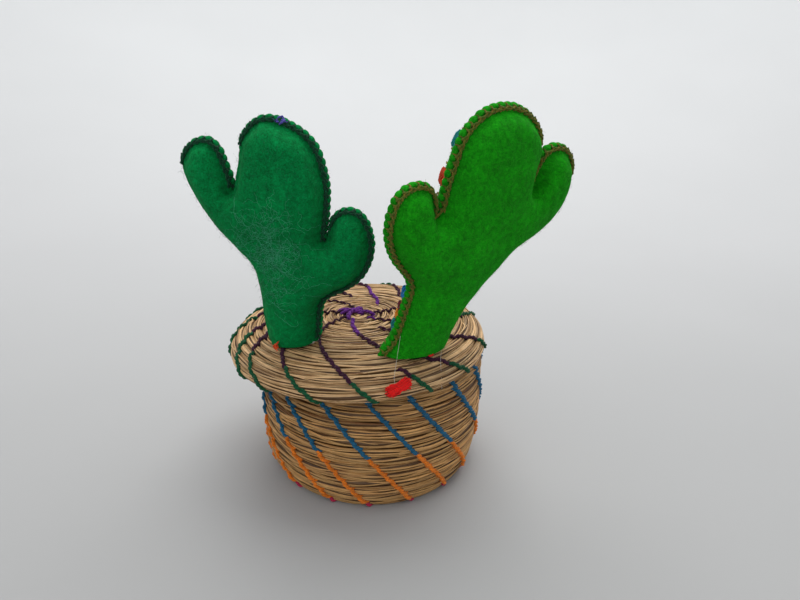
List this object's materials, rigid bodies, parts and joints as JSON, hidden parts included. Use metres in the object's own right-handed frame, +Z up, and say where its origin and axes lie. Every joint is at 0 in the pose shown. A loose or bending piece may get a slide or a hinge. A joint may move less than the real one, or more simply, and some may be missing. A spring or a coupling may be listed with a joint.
{
  "type": "lidded coiled basket",
  "caption": "Small round coiled grass basket bound with coloured yarn; its loose lift-off lid carries upright stuffed felt cacti.",
  "frame": {"origin": "middle of the basket's flat underside, on the surface it stands on", "axes": "+Z up; the cacti stand on the lid towards -Y, plain faces towards -Y; the lid sits a little towards -X"},
  "size_m": [0.1225, 0.0975, 0.1376],
  "materials": {
    "grass_coil": "dry split grass, matt with a faint straw sheen",
    "pink_yarn": "twisted pink-red yarn",
    "orange_yarn": "twisted orange yarn",
    "blue_yarn": "twisted teal-blue yarn",
    "purple_yarn": "twisted bright purple yarn",
    "plum_yarn": "twisted dark plum yarn",
    "green_yarn": "twisted dark green yarn",
    "dark_green_felt": "pressed wool felt, fuzzy",
    "bright_green_felt": "pressed wool felt, fuzzy",
    "stuffing": "loose fibre fill",
    "dark_thread": "stranded cotton thread",
    "olive_thread": "stranded cotton thread",
    "embroidery_yarn": "stranded cotton thread in several colours",
    "violet_yarn": "twisted blue-violet yarn",
    "vermilion_yarn": "twisted orange-red yarn",
    "red_yarn": "twisted red yarn",
    "clear_glue": "set hot glue, milky and slightly glossy"
  },
  "bodies": {
    "basket": {"basket_floor_coil": "grass_coil", "basket_wall_coil": "grass_coil", "basket_neck_coil": "grass_coil", "basket_pink_stitches": "pink_yarn", "basket_orange_stitches": "orange_yarn", "basket_blue_stitches": "blue_yarn"},
    "lid": {"lid_top_coil": "grass_coil", "lid_rim_coil": "grass_coil", "lid_purple_stitches": "purple_yarn", "lid_plum_stitches": "plum_yarn", "lid_green_stitches": "green_yarn", "dark_cactus_plain_panel": "dark_green_felt", "dark_cactus_embroidered_panel": "dark_green_felt", "dark_cactus_stuffing": "stuffing", "dark_cactus_edge_stitches": "dark_thread", "dark_cactus_embroidery": "embroidery_yarn", "dark_cactus_top_knot": "violet_yarn", "dark_cactus_foot_knot": "vermilion_yarn", "dark_cactus_glue": "clear_glue", "light_cactus_plain_panel": "bright_green_felt", "light_cactus_embroidered_panel": "bright_green_felt", "light_cactus_stuffing": "stuffing", "light_cactus_edge_stitches": "olive_thread", "light_cactus_embroidery": "embroidery_yarn", "light_cactus_foot_thread": "red_yarn", "light_cactus_glue": "clear_glue", "red_yarn_tuft": "red_yarn"}
  },
  "joints": [
    {"name": "lid_lift", "type": "slide", "parent": "basket", "child": "lid", "axis": [0, 0, 1], "range_m": [0, 0.06]}
  ]
}
